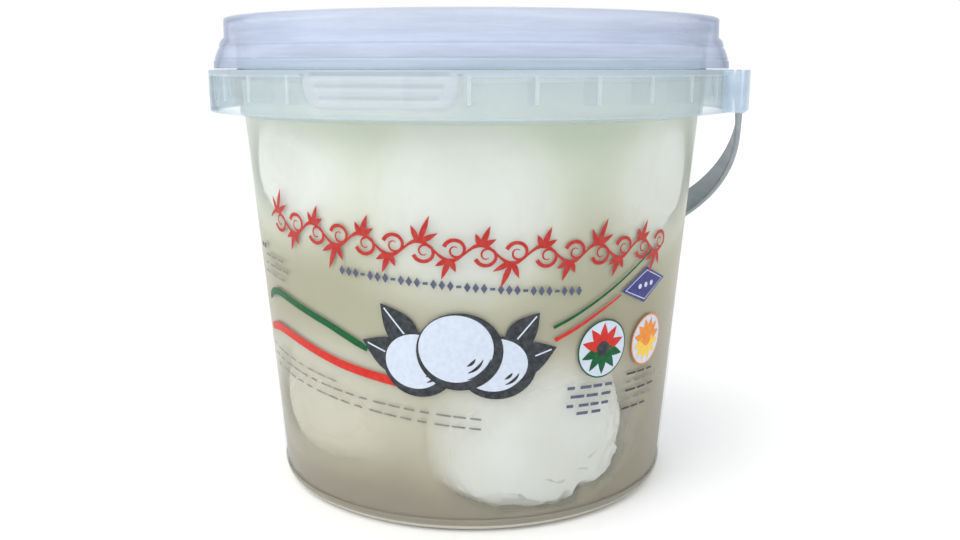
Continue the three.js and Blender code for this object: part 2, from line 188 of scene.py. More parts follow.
class Look:
    """A Principled material with procedural nodes."""

    def __init__(self, name, colour, roughness, **sockets):
        self.mat = bpy.data.materials.new(name)
        self.mat.use_nodes = True
        self.tree = self.mat.node_tree
        self.shader = self.tree.nodes["Principled BSDF"]
        self.place = None
        self.set(Base_Color=colour, Roughness=roughness, **sockets)

    def feed(self, socket, value):
        """Links a socket to another one, or gives it a fixed value."""
        if isinstance(value, bpy.types.NodeSocket):
            self.tree.links.new(value, socket)
        elif socket.type == "RGBA" and len(value) == 3:
            socket.default_value = (*value, 1.0)
        else:
            socket.default_value = value

    def set(self, **sockets):
        for name, value in sockets.items():
            self.feed(self.shader.inputs[name.replace("_", " ")], value)

    def node(self, kind, inputs=(), **settings):
        """A node with its settings and with its inputs fed, as (name or number, value) pairs."""
        made = self.tree.nodes.new(kind)
        for name, value in settings.items():
            setattr(made, name, value)
        for key, value in inputs:
            self.feed(made.inputs[key], value)
        return made

    def coords(self, stretch=(1, 1, 1)):
        if self.place is None:
            self.place = self.node("ShaderNodeTexCoord").outputs["Object"]
        if stretch == (1, 1, 1):
            return self.place
        return self.node("ShaderNodeMapping", [(0, self.place), ("Scale", stretch)]).outputs[0]

    def noise(self, scale, detail=3.0, stretch=(1, 1, 1), rough=0.5):
        """Noise in 0..1 with features of about 1/scale metres."""
        place = self.coords(stretch)
        inputs = [("Vector", place), ("Scale", scale), ("Detail", detail), ("Roughness", rough)]
        return self.node("ShaderNodeTexNoise", inputs).outputs["Fac"]

    def ramp(self, value, low, high, to_low=0.0, to_high=1.0, smooth=False):
        """The value, brought from one range to another."""
        ends = [("From Min", low), ("From Max", high), ("To Min", to_low), ("To Max", to_high)]
        made = self.node("ShaderNodeMapRange", [("Value", value), *ends])
        if smooth:
            made.interpolation_type = "SMOOTHSTEP"
        return made.outputs["Result"]

    def maths(self, operation, a, b):
        return self.node("ShaderNodeMath", [(0, a), (1, b)], operation=operation).outputs[0]

    def mix(self, factor, a, b, blend="MIX"):
        """Two colours mixed. A Mix node has its factor in input 0, and its colours in 6 and 7."""
        inputs = [(0, factor), (6, a), (7, b)]
        return self.node("ShaderNodeMix", inputs, data_type="RGBA", blend_type=blend).outputs[2]

    def tint(self, a, b):
        """One colour times another."""
        return self.mix(1.0, a, b, "MULTIPLY")

    def bump(self, height, strength, distance):
        inputs = [("Height", height), ("Strength", strength), ("Distance", distance)]
        return self.node("ShaderNodeBump", inputs).outputs["Normal"]

    def absorbs(self, colour, density):
        """The colour that the material takes on in its depth. Density is per metre."""
        made = self.node("ShaderNodeVolumeAbsorption", [("Color", colour), ("Density", density)])
        output = self.tree.nodes["Material Output"]
        self.tree.links.new(made.outputs[0], output.inputs["Volume"])

    def attribute(self, name, output="Fac"):
        return self.node("ShaderNodeAttribute", attribute_name=name).outputs[output]

    def height(self):
        """Height above the table, in millimetres."""
        split = self.node("ShaderNodeSeparateXYZ", [(0, self.coords())])
        return self.maths("MULTIPLY", split.outputs["Z"], 1 / MM)


def srgb(red, green, blue):
    """Scene colour of an sRGB colour of 0..255."""
    return tuple(
        v / 12.92 if v <= 0.04045 else ((v + 0.055) / 1.055) ** 2.4
        for v in (red / 255, green / 255, blue / 255)
    )


def moulded_plastic(name, roughness, depth_colour, depth_density, streaks):
    """See-through moulded plastic. Each face's tone is in its attributes "tone" and "milk".
    Flow clouds vary both, and streaks says how much the plastic is drawn out round the tub. The
    streaks are flow marks and, on the lid, where they are strongest, also painted reflection."""
    look = Look(name, (0.7, 0.75, 0.8), roughness, IOR=1.49)
    clouds = look.noise(45.0, 4.0, (1, 1, 0.5))
    drawn = look.noise(26.0, 5.0, (1, 1, 12.0), 0.6)
    tone = look.attribute("tone", "Color")
    shade = look.mix(look.ramp(clouds, 0.35, 0.65), (1.0, 1.0, 1.0), (0.9, 0.915, 0.93))
    # Streaks paler and darker in turn: flow marks, partly painted reflection
    swing = look.mix(look.ramp(drawn, 0.32, 0.68), (1 - streaks,) * 3, (1 + streaks,) * 3)
    milk = look.maths("MULTIPLY", look.attribute("milk"), look.ramp(clouds, 0.3, 0.7, 0.92, 1.08))
    spread = look.ramp(drawn, 0.3, 0.7, 1 - 2 * streaks, 1 + 2 * streaks)
    look.set(
        Base_Color=look.tint(look.tint(tone, shade), swing),
        Alpha=look.maths("MULTIPLY", milk, spread),
        Roughness=look.ramp(clouds, 0.3, 0.7, roughness - 0.05, roughness + 0.07),
        Normal=look.bump(look.noise(2200.0, 2.0), 0.12, 0.00003),
    )
    look.absorbs(depth_colour, depth_density)
    return look.mat


def ink(name, fresh, worn):
    """Flat screen-printed ink with a slightly uneven lay."""
    look = Look("ink_" + name, srgb(*fresh), 0.45, Specular_IOR_Level=0.2)
    patchy = look.noise(900.0, 3.0)
    look.set(
        Base_Color=look.mix(look.ramp(patchy, 0.35, 0.7), srgb(*fresh), srgb(*worn)),
        Roughness=look.ramp(patchy, 0.2, 0.8, 0.36, 0.5),
    )
    return look.mat


def cheese_skin(name, light, dark):
    """Moist white curd, a little see-through, with pale clouds and drawn threads."""
    look = Look(name, srgb(243, 243, 236), 0.42, IOR=1.4)
    look.set(Subsurface_Weight=0.6, Subsurface_Scale=0.012, Subsurface_Radius=(1.0, 0.9, 0.7))
    mottle = look.noise(70.0, 5.0, (1, 1, 0.7))
    threads = look.noise(420.0, 4.0, (1, 1, 0.35), 0.6)
    look.set(
        Base_Color=look.mix(look.ramp(mottle, 0.35, 0.68), light, dark),
        Roughness=look.ramp(mottle, 0.3, 0.7, 0.34, 0.52),
        Normal=look.bump(threads, 0.25, 0.0003),
    )
    return look.mat


def cloudy_whey():
    """Hides what lies deep in it, and is paler where a cheese near it lights it, which is painted
    light.
    """
    look = Look("cloudy_whey", srgb(200, 205, 185), 0.3, IOR=1.34)
    height = look.height()
    clouds = look.noise(28.0, 4.0, (1, 1, 1.4))
    drift = look.ramp(clouds, 0.3, 0.7, -9.0, 9.0)
    level = look.maths("ADD", height, drift)
    # The whey's own olive-green, with painted shade that darkens it towards the bottom, and painted
    # light that brightens it just under the collar
    deep = srgb(128, 121, 105)
    for place, low, high, colour in (
        (level, 4.0, 34.0, srgb(141, 134, 109)),
        (level, 30.0, 72.0, srgb(159, 159, 131)),
        (level, 66.0, 96.0, srgb(180, 193, 170)),
        (height, 91.0, 103.0, srgb(222, 231, 222)),
    ):
        deep = look.mix(look.ramp(place, low, high, smooth=True), deep, colour)
    glow = look.attribute("glow")
    # Painted light of a near cheese, also darker low down as painted shade
    pale = look.mix(look.ramp(height, 10.0, 90.0), srgb(169, 164, 142), srgb(226, 232, 222))
    look.set(
        Base_Color=look.mix(look.ramp(glow, 0.22, 0.92, smooth=True), deep, pale),
        Alpha=look.attribute("cloud"),
        Roughness=look.ramp(clouds, 0.3, 0.7, 0.26, 0.36),
    )
    return look.mat


def plain_floor():
    look = Look("stage_floor", (0.9, 0.9, 0.9), 0.7)
    patchy = look.noise(2.0, 2.0)
    look.set(Base_Color=look.mix(patchy, (0.89, 0.89, 0.89), (0.91, 0.91, 0.91)))
    return look.mat


# -------- meshes


def placed(name, data):
    """A mesh, light or camera as an object in the scene."""
    made = bpy.data.objects.new(name, data)
    bpy.context.scene.collection.objects.link(made)
    return made


def piece(name, points, faces, looks, body="pack", indices=None, merge=1e-4):
    """A smooth mesh piece from points in millimetres."""
    mesh = bpy.data.meshes.new(name)
    mesh.from_pydata([tuple(p) for p in points], [], faces)
    for look in looks:
        mesh.materials.append(look)
    if indices is not None:
        mesh.polygons.foreach_set("material_index", indices)
    work = bmesh.new()
    work.from_mesh(mesh)
    if merge:
        bmesh.ops.remove_doubles(work, verts=work.verts, dist=merge)
        bmesh.ops.recalc_face_normals(work, faces=work.faces)
    bmesh.ops.scale(work, vec=(MM, MM, MM), verts=work.verts)
    work.to_mesh(mesh)
    work.free()
    mesh.shade_smooth()
    made = placed(name, mesh)
    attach(made, body)
    return made


def soften(profile, radius, steps=4):
    """Rounds every corner of a closed profile, apart from those on the axis."""
    rounded = []
    for i, (r, z) in enumerate(profile):
        here = Vector((r, z))
        before = Vector(profile[i - 1]) - here
        after = Vector(profile[(i + 1) % len(profile)]) - here
        if r == 0:
            rounded.append((r, z))
            continue
        cut = min(radius, EDGE_SHARE * before.length, EDGE_SHARE * after.length)
        start = here + before.normalized() * cut
        end = here + after.normalized() * cut
        for k in range(steps + 1):
            t = k / steps
            rounded.append(tuple((1 - t) ** 2 * start + 2 * t * (1 - t) * here + t * t * end))
    return rounded


def with_rows(profile, wanted, step):
    """Adds points to those edges of a profile whose middle is wanted."""
    rows = []
    for i, here in enumerate(profile):
        after = profile[(i + 1) % len(profile)]
        rows.append(here)
        if wanted((here[0] + after[0]) / 2, (here[1] + after[1]) / 2):
            count = math.ceil(math.dist(here, after) / step)
            for k in range(1, count):
                t = k / count
                rows.append(tuple(a + (b - a) * t for a, b in zip(here, after)))
    return rows


def heading(angle):
    """Sine and cosine of an angle in degrees."""
    return math.sin(math.radians(angle)), math.cos(math.radians(angle))


def turned(profile, angles):
    """Points and faces of a closed profile turned about Z. Angles are in degrees."""
    rows, turns = len(profile), len(angles)
    points = []
    for angle in angles:
        sine, cosine = heading(angle)
        points += [(r * sine, -r * cosine, z) for r, z in profile]
    faces = []
    for i in range(turns):
        a, b = i * rows, (i + 1) % turns * rows
        for j in range(rows):
            k = (j + 1) % rows
            if profile[j][0] or profile[k][0]:  # an edge on the axis makes no face
                faces.append((a + j, b + j, b + k, a + k))
    return points, faces


def evenly(count):
    """Angles in degrees that divide a full turn."""
    return list(np.linspace(0, 360, count, endpoint=False))


def points_and_faces(work):
    """Those of a bmesh, which is freed."""
    work.verts.index_update()
    points = [tuple(v.co) for v in work.verts]
    faces = [tuple(v.index for v in f.verts) for f in work.faces]
    work.free()
    return points, faces


def block(corners, bevel):
    """A closed block between eight corners (lower four, then upper four), edges rounded."""
    work = bmesh.new()
    made = [work.verts.new(c) for c in corners]
    sides = ((0, 1, 5, 4), (1, 2, 6, 5), (2, 3, 7, 6), (3, 0, 4, 7))
    for face in ((3, 2, 1, 0), (4, 5, 6, 7), *sides):
        work.faces.new([made[i] for i in face])
    bmesh.ops.recalc_face_normals(work, faces=work.faces)
    bmesh.ops.bevel(work, geom=work.edges, offset=bevel, segments=2, profile=0.5, affect="EDGES")
    return points_and_faces(work)


def joined(*parts):
    """Several (points, faces) pairs as one."""
    points, faces = [], []
    for some_points, some_faces in parts:
        shift = len(points)
        points += list(some_points)
        faces += [tuple(i + shift for i in face) for face in some_faces]
    return points, faces


# -------- tub


def arc(r, z, radius, start, end, steps):
    """Points of an arc of a profile. Angles are in degrees."""
    made = []
    for i in range(steps + 1):
        angle = math.radians(start + (end - start) * i / steps)
        made.append((r + radius * math.cos(angle), z + radius * math.sin(angle)))
    return made


def wall_profile():
    """Wall, floor and foot ring, up to the joint under the collar."""
    slope = math.degrees(math.atan(TAPER))
    joint = STEP_HEIGHT - 0.02
    return [
        (0, FOOT_RECESS),
        (FOOT_INNER - FOOT_RECESS, FOOT_RECESS),
        (FOOT_INNER, 0),
        *arc(FOOT_OUTER, FOOT_ROUND, FOOT_ROUND, -90, -slope, 10),
        (wall_outside(joint), joint),
        (wall_inside(joint), joint),
        (wall_inside(FLOOR_CORNER), FLOOR_CORNER),
        (wall_inside(FLOOR_TOP) - 0.4, FLOOR_TOP + 0.5),
        (wall_inside(FLOOR_TOP) - 1.6, FLOOR_TOP),
        (0, FLOOR_TOP),
    ]


def collar_profile():
    """The rim with its bead, the flange and the skirt."""
    step = lambda z: wall_outside(z) + 0.4
    inside = COLLAR_RADIUS - WALL
    bead = wall_outside(RIM_HEIGHT) + 0.9
    return [
        (wall_inside(STEP_HEIGHT), STEP_HEIGHT),
        (wall_outside(STEP_HEIGHT), STEP_HEIGHT),
        (step(STEP_HEIGHT + 0.4), STEP_HEIGHT + 0.4),
        (step(FLANGE_BOTTOM), FLANGE_BOTTOM),
        (inside, FLANGE_BOTTOM),
        (inside, COLLAR_BOTTOM + 1.4),
        (inside - 0.7, COLLAR_BOTTOM + 0.7),
        (inside - 0.7, COLLAR_BOTTOM),
        (COLLAR_RADIUS, COLLAR_BOTTOM),
        (COLLAR_RADIUS, COLLAR_TOP),
        (wall_outside(COLLAR_TOP), COLLAR_TOP),
        (wall_outside(114), 114),
        (bead, 114.5),
        (bead, RIM_HEIGHT),
        (wall_inside(RIM_HEIGHT), RIM_HEIGHT),
        (wall_inside(RIM_HEIGHT), (RIM_RADIUS - BASE_RADIUS) / TAPER),
    ]


def groove_shape(distance):
    """Depth of a round-bottomed groove at a distance from its middle."""
    share = abs(distance) / GROOVE_WIDTH
    return GROOVE_DEPTH * (0.5 + 0.5 * math.cos(math.pi * share)) if share < 1 else 0.0


def beyond_tab(s, z):
    """Distance from the tab's outline of a place that lies s round from the front and z high.
    It is negative inside the outline."""
    across, drop = abs(s - TAB_MIDDLE), TAB_BOTTOM + TAB_CORNER - z
    if drop <= 0:
        return across - TAB_WIDTH / 2
    return math.hypot(max(0.0, across - TAB_WIDTH / 2 + TAB_CORNER), drop) - TAB_CORNER


def tab_relief(s, z):
    """How far the tab's grooves go in at that place."""
    outside = beyond_tab(s, z)
    depth = groove_shape(outside) if z < TAB_TOP else 0.0
    if outside < 0:
        for i, height in enumerate(GRIP_HEIGHTS):
            half = TAB_WIDTH / 2 - GRIP_INSET - GRIP_NARROWING * i
            end = max(0.0, abs(s - TAB_MIDDLE) - half)
            depth = max(depth, groove_shape(math.hypot(z - height, end)))
    return depth


def collar_points():
    """The collar, with the tab's grooves sunk into the skirt's outside."""
    on_skirt = lambda r, z: r > COLLAR_RADIUS - 0.05 and COLLAR_BOTTOM < z < COLLAR_TOP
    profile = with_rows(soften(collar_profile(), 0.3), on_skirt, 0.22)
    fine = list(np.arange(-TAB_SPAN, TAB_SPAN + 0.01, TAB_STEP))
    coarse = list(np.linspace(20.0, 340.0, 250))
    points, faces = turned(profile, fine + coarse)
    for i, (x, y, z) in enumerate(points):
        radius = math.hypot(x, y)
        if on_skirt(radius, z) and y < 0:
            s = COLLAR_RADIUS * math.atan2(x, -y)
            share = 1 - tab_relief(s, z) / radius
            points[i] = (x * share, y * share, z)
    return points, faces


def upright(angle, inner, outer, across, low, high):
    """A block that stands at an angle round the tub, between two radii."""
    sine, cosine = heading(angle)
    corners = [
        (radius * sine + side * cosine, -radius * cosine + side * sine, height)
        for height in (low, high)
        for radius, side in ((inner, -across), (outer, -across), (outer, across), (inner, across))
    ]
    return block(corners, 0.12)


def rib(angle):
    """One brace between wall and skirt."""
    inner, outer = wall_outside(RIB_BOTTOM) + 0.1, COLLAR_RADIUS - WALL - 0.35
    return upright(angle, inner, outer, 0.5, RIB_BOTTOM, FLANGE_BOTTOM + 0.2)


def rib_line(angle):
    """The brace's thicker root on the inside of the skirt."""
    outer = COLLAR_RADIUS - WALL
    return upright(angle, outer - 0.4, outer + 0.2, 0.45, RIB_BOTTOM + 0.3, FLANGE_BOTTOM + 0.2)


def disc_ring(outer, hole, inside_x, outside_x, bevel, turns=48):
    """A disc about the X axis, with or without a round hole."""
    section = [(hole, inside_x), (outer, inside_x), (outer, outside_x), (hole, outside_x)]
    points, faces = turned(soften(section, bevel, 3), evenly(turns))
    return [(z, x, y) for x, y, z in points], faces


def ear(side):
    """Post, keeper plate and its front return, on the +X side (1) or the -X side (-1)."""
    x0, x1, half = KEEPER_INSIDE, KEEPER_OUTSIDE, KEEPER_HALF
    corners = [(x0, -half), (x1, -half), (x1, half), (x0, half)]
    plate = [(x, y, z) for z in (COLLAR_BOTTOM, COLLAR_TOP) for x, y in corners]
    post_end = (x0 + x1) / 2
    post, post_faces = disc_ring(POST_RADIUS, 0, COLLAR_RADIUS - 0.6, post_end, 0.2, 32)
    post = [(x, y, z + PIVOT_HEIGHT) for x, y, z in post]
    y0, y1 = -half, -half + RETURN_THICKNESS
    corners = [(RETURN_INSIDE, y0), (post_end, y0), (post_end, y1), (RETURN_INSIDE, y1)]
    heights = (COLLAR_BOTTOM + RETURN_INSET, COLLAR_TOP - RETURN_INSET)
    front = [(x, y, z) for z in heights for x, y in corners]
    points, faces = joined(block(plate, 0.3), (post, post_faces), block(front, 0.25))
    return [(side * x, y, z) for x, y, z in points], faces


def in_tab(x, y, z):
    """True on the outside of the skirt, inside the tab's outline."""
    on_skirt = math.hypot(x, y) > COLLAR_RADIUS - 0.6 and z < TAB_TOP
    return on_skirt and beyond_tab(COLLAR_RADIUS * math.atan2(x, -y), z) < 0


def collar_tone(x, y, z):
    """Milkiest in the tab, and clear in the rim behind the skirt. The skirt's bottom edge is paler,
    partly a painted highlight.
    """
    radius = math.hypot(x, y)
    if radius < wall_inside(z) + 0.3:
        return "wall"
    if in_tab(x, y, z):
        return "tab"
    if z > FLANGE_BOTTOM - 0.1 and radius > RIM_RADIUS + 1.0:
        return "flange"
    # The bottom edge's paler tone is partly a painted highlight
    if radius > COLLAR_RADIUS - 1.0 and z < COLLAR_BOTTOM + 0.6:
        return "collar_edge_milk_and_highlight"
    return "collar"


def give_tones(made, names):
    """Gives a piece its tones, a name for each face."""
    milk = made.data.attributes.new("milk", "FLOAT", "FACE")
    milk.data.foreach_set("value", [TONES[name][1] for name in names])
    tone = made.data.attributes.new("tone", "FLOAT_COLOR", "FACE")
    colours = {name: (*srgb(*TONES[name][0]), 1.0) for name in TONES}
    tone.data.foreach_set("color", [part for name in names for part in colours[name]])


def face_middles(points, faces):
    places = np.array(points)
    return [places[list(face)].mean(0) for face in faces]


def wall_tone(z):
    """Milky in the foot, with a darker band of painted shade just above it, and clear above that.
    """
    if z < FOOT_TONE_TOP:
        return "foot"
    return "foot_band_painted_shade" if z < FOOT_TOP_TONE_TOP else "wall"


def make_tub(plastic):
    points, faces = turned(soften(wall_profile(), 0.3), evenly(TURN_STEPS))
    made = piece("tub_moulding", points, faces, [plastic])
    give_tones(made, [wall_tone(z) for _, _, z in face_middles(points, faces)])
    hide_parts("tub")


def make_collar(plastic):
    body = collar_points()
    angles = [(i + 0.5) * 360 / RIB_COUNT for i in range(RIB_COUNT)]
    ribs, lines = joined(*map(rib, angles)), joined(*map(rib_line, angles))
    ears = joined(ear(1), ear(-1))
    points, faces = joined(body, ribs, lines, ears)
    names = [collar_tone(*middle) for middle in face_middles(*body)]
    # Rib roots take the pale tone of painted light
    names += ["web"] * len(ribs[1]) + ["rib_line"] * len(lines[1]) + ["ear"] * len(ears[1])
    made = piece("tub_collar", points, faces, [plastic])
    give_tones(made, names)
    made.data.polygons.foreach_set("use_smooth", [name != "web" for name in names])
    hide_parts("tub")


# -------- lid


def lid_profile():
    """Half section of the lid, outwards along its underside and back over its top."""
    plug = lambda z: wall_inside(z) - 0.3
    return [
        (0, 108.5), (41.5, 108.5), (42.5, 109.3), (plug(109.3) - 0.8, 109.3),
        (plug(110.1), 110.1), (plug(116.7), 116.7), (61.4, 116.7), (61.4, 112.1),
        (62.3, 111.3), (62.6, 110.2), (64.1, 105.8), (65.2, 105.8), (65.1, 107.6),
        (64.8, 107.75), (64.75, 107.95), (64.9, 108.1), (64.05, 110.4), (63.65, 110.7),
        (63.6, 110.95), (63.75, 111.15), (63.4, 112.3), (62.9, 112.8), (62.5, 113.1),
        (62.4, 117.45), (62.1, 117.8), (plug(117.8) - 0.4, 117.8), (plug(116.7) - 1.1, 117.0),
        (plug(111.4) - 1.1, 111.4), (plug(110.4) - 2.1, 110.4),
        (42.5, 110.4), (41.5, 109.6), (0, 109.6),
    ]


def make_lid(plastic):
    points, faces = turned(soften(lid_profile(), 0.25), evenly(TURN_STEPS))
    made = piece("lid_moulding", points, faces, [plastic])
    names = []
    for x, y, z in face_middles(points, faces):
        on_brim = z > LID_BRIM_BOTTOM and math.hypot(x, y) > LID_BRIM_RADIUS
        names.append("lid_edge" if z < LID_SKIRT_EDGE or on_brim else "lid")
    give_tones(made, names)
    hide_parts("lid")


# -------- handle


def droop():
    """How far below level the handle hangs, as in the CAD source."""
    reach, half = STRAP_INSIDE + ARM_LENGTH, GRIP_WIDTH / 2
    by_cosine, by_sine = reach + TAPER * half, TAPER * reach - half
    room = wall_outside(PIVOT_HEIGHT) + HANDLE_GAP
    return math.atan2(by_sine, by_cosine) + math.acos(room / math.hypot(by_cosine, by_sine))


def half_width(y):
    t = min(1.0, max(0.0, y / WIDENING))
    return (ARM_WIDTH + (GRIP_WIDTH - ARM_WIDTH) * t * t * (3 - 2 * t)) / 2


def strap_section(y):
    """Rounded cross-section, as (towards outside, across) pairs."""
    edge = STRAP_EDGE_ROUND
    half_t, half_w = STRAP_THICKNESS / 2 - edge, half_width(y) - edge
    section = []
    for sign_t, sign_w, start in ((1, 1, 0), (-1, 1, 90), (-1, -1, 180), (1, -1, 270)):
        section += arc(sign_t * half_t, sign_w * half_w, edge, start, start + 90, 4)
    return section


def make_handle(plastic):
    middle = STRAP_INSIDE + STRAP_THICKNESS / 2
    straight = list(np.linspace(ARM_START, ARM_LENGTH, 6)[:-1])
    line = [((middle, y), (1, 0)) for y in straight]
    for angle in np.linspace(0, math.pi, 121):
        out = (math.cos(angle), math.sin(angle))
        line.append(((middle * out[0], ARM_LENGTH + middle * out[1]), out))
    line += [((-middle, y), (-1, 0)) for y in reversed(straight)]
    points, faces, names = [], [], []
    for (x, y), (out_x, out_y) in line:
        for out, across in strap_section(y):
            points.append((x + out_x * out, y + out_y * out, across))
    count = len(points) // len(line)
    for a in range(0, len(points) - count, count):
        b = a + count
        for j in range(count):
            k = (j + 1) % count
            faces.append((a + j, a + k, b + k, b + j))
            # Thin sides get the lighter tone of painted glow
            names.append("strap_side_painted_glow" if j in THIN_SIDES else "strap")
    faces.append(tuple(range(count)))
    faces.append(tuple(reversed(range(len(points) - count, len(points)))))
    near, far = STRAP_INSIDE, STRAP_INSIDE + STRAP_THICKNESS
    eyes = [disc_ring(EYE_RADIUS, EYE_HOLE, *ends, 0.4) for ends in ((near, far), (-far, -near))]
    points, faces = joined((points, faces), *eyes)
    turn = Matrix.Rotation(-droop(), 3, "X")
    points = [turn @ Vector(p) + Vector((0, 0, PIVOT_HEIGHT)) for p in points]
    made = piece("handle_strap", points, faces, [plastic], "bail")
    give_tones(made, names + ["strap"] * (len(faces) - len(names)))
    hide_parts("handle")


# -------- print on the wall


class Sheet:
    """Flat shapes drawn in millimetres on the unrolled wall, then laid on its outside."""

    SCALE_RADIUS = 54.5  # wall's radius half way up the print
    LIFT, LAYER = 0.04, 0.025

    def __init__(self):
        self.points, self.faces, self.indices = [], [], []

    def add(self, flat, faces, colour, layer):
        shift = len(self.points)
        for u, v in flat:
            radius = wall_outside(v) + self.LIFT + self.LAYER * layer
            angle = u / self.SCALE_RADIUS
            self.points.append((radius * math.sin(angle), -radius * math.cos(angle), v))
        self.faces += [tuple(i + shift for i in face) for face in faces]
        self.indices += [INKS.index(colour)] * len(faces)

    def area(self, outline, colour, layer=0):
        """A filled outline, all of which can be seen from its middle."""
        middle = np.mean(outline, axis=0)
        rings = max(1, math.ceil(max(math.dist(p, middle) for p in outline) / 1.3))
        flat = [tuple(middle)]
        for k in range(1, rings + 1):
            flat += [tuple(middle + (np.array(p) - middle) * k / rings) for p in outline]
        n = len(outline)
        faces = [(0, 1 + i, 1 + (i + 1) % n) for i in range(n)]
        for k in range(rings - 1):
            a, b = 1 + k * n, 1 + (k + 1) * n
            faces += [(a + i, b + i, b + (i + 1) % n, a + (i + 1) % n) for i in range(n)]
        self.add(flat, faces, colour, layer)

    def strip(self, line, width, colour, layer=0, steps=10):
        """A band along a smooth line. width is a number, or a function of the share along it."""
        path = smooth_line(line, steps)
        flat = []
        for i, here in enumerate(path):
            before, after = path[max(0, i - 1)], path[min(len(path) - 1, i + 1)]
            way = Vector(after) - Vector(before)
            way.normalize()
            half = (width(i / (len(path) - 1)) if callable(width) else width) / 2
            for side in (1, -1):
                flat.append((here[0] - way.y * half * side, here[1] + way.x * half * side))
        faces = [(2 * i, 2 * i + 1, 2 * i + 3, 2 * i + 2) for i in range(len(path) - 1)]
        self.add(flat, faces, colour, layer)

    def ellipse(self, middle, half_u, half_v, colour, layer, count):
        turns = [2 * math.pi * k / count for k in range(count)]
        u, v = middle
        outline = [(u + half_u * math.cos(a), v + half_v * math.sin(a)) for a in turns]
        self.area(outline, colour, layer)

    def leaf(self, root, length, width, way, colour, layer=0):
        """A pointed leaf from its root, in a direction in degrees."""
        u, v = root
        sine, cosine = heading(way)
        outline = []
        for k in range(24):
            t, side = (k / 12, 1) if k <= 12 else ((24 - k) / 12, -1)
            out, bulge = length * t, side * width / 2 * math.sin(math.pi * t**0.8)
            outline.append((u + cosine * out - sine * bulge, v + sine * out + cosine * bulge))
        self.area(outline, colour, layer)


def smooth_line(line, steps):
    """Points along a Catmull-Rom curve through the given ones."""
    ends = [line[0], *line, line[-1]]
    path = []
    for i in range(len(line) - 1):
        a, b, c, d = map(np.array, ends[i : i + 4])
        for k in range(steps):
            t = k / steps
            square, cube = 2 * a - 5 * b + 4 * c - d, 3 * b - a - 3 * c + d
            path.append(tuple(0.5 * (2 * b + (c - a) * t + square * t * t + cube * t**3)))
    return path + [tuple(line[-1])]


def on_wall(angle, height):
    """Place on the unrolled wall of an angle from the front, in degrees, and a height."""
    return (math.radians(angle) * Sheet.SCALE_RADIUS, height)


INK_COLOURS = {  # fresh and worn
    "red": ((190, 34, 26), (196, 54, 44)),
    "wine": ((168, 40, 36), (176, 62, 56)),
    "green": ((0, 76, 38), (14, 94, 52)),
    "navy": ((44, 46, 112), (66, 68, 130)),
    "slate": ((76, 82, 104), (92, 98, 118)),
    "black": ((40, 44, 48), (66, 70, 74)),
    "white": ((198, 208, 222), (188, 198, 214)),
    "orange": ((218, 124, 30), (226, 146, 58)),
    "yellow": ((232, 188, 64), (228, 196, 96)),
    "grey": ((112, 112, 106), (134, 134, 126)),
}
INKS = list(INK_COLOURS)


def draw_stripes(sheet):
    """The two thick stripes on the left and the thin pair that rises on the right."""
    tapered = lambda widest: lambda t: widest * min(1.0, 0.45 + 5 * t, 0.7 + 4 * (1 - t))
    for places, width, colour in (
        (((-46, 50.2), (-42, 52.6), (-35, 52.4), (-19, 48.7), (-7, 44.0)), tapered(1.7), "green"),
        (((-48, 42.4), (-42, 43.6), (-32, 42.8), (-13.5, 39.1), (4, 36.4)), tapered(2.1), "red"),
        (((37.5, 49.6), (44, 52.4), (54, 57.6), (66, 64.6)), lambda t: 0.75 - 0.35 * t, "green"),
        (((38, 46.6), (44, 49.2), (50, 52.2), (56, 55.2)), lambda t: 0.95 - 0.5 * t, "red"),
    ):
        sheet.strip([on_wall(*place) for place in places], width, colour)


def vine_middle(t):
    """Height of the vine's middle line, t of the way along it."""
    return 71.8 - 6.6 * t * (2 - t) + 0.8 * t


def draw_flourish(sheet):
    """A red vine with spiral curls and leaves in place of a line of script."""
    waves = 8
    wave = lambda t: math.sin(t * 2 * math.pi * waves)
    place = lambda t, up=0.0: on_wall(-37.5 + 109.0 * t, vine_middle(t) + up)
    line = [place(t, 1.9 * wave(t)) for t in np.linspace(0, 1, 16 * waves + 1)]
    sheet.strip(line, lambda t: 0.5 + 0.45 * wave(t) ** 2, "wine", steps=3)
    for i in range(2 * waves):
        u, v = place((i + 0.5) / (2 * waves))
        up = 1 if i % 2 == 0 else -1
        size = 1.0 if i % 3 else 1.3
        curl = []
        for k in range(19):
            turn = math.pi * (0.1 + 2.6 * k / 18)
            reach = 2.5 * (1 - 0.042 * k)
            curl.append((u + 1.2 - reach * math.cos(turn), v - up * (0.4 + reach * math.sin(turn))))
        sheet.strip(curl, lambda s: 0.75 * (1 - s) + 0.18, "wine", steps=3)
        for way, length in ((68, 5.0), (28, 3.6), (112, 3.2)):
            sheet.leaf((u, v + up * 1.5), length * size, 1.25, way if up > 0 else way - 180, "wine")


def draw_lozenges(sheet):
    """A row of dark lozenges and dashes in place of a line of capitals."""
    count = 31
    for i in range(count):
        t = i / (count - 1)
        u = on_wall(-12.5 + 56 * t, 0)[0]
        v = 61.9 - 4.3 * t
        if i % 4 == 3:
            sheet.strip([(u - 0.55, v), (u, v), (u + 0.55, v)], 0.6, "slate", steps=2)
        else:
            sheet.area([(u - 0.72, v), (u, v - 1.15), (u + 0.72, v), (u, v + 1.15)], "slate")


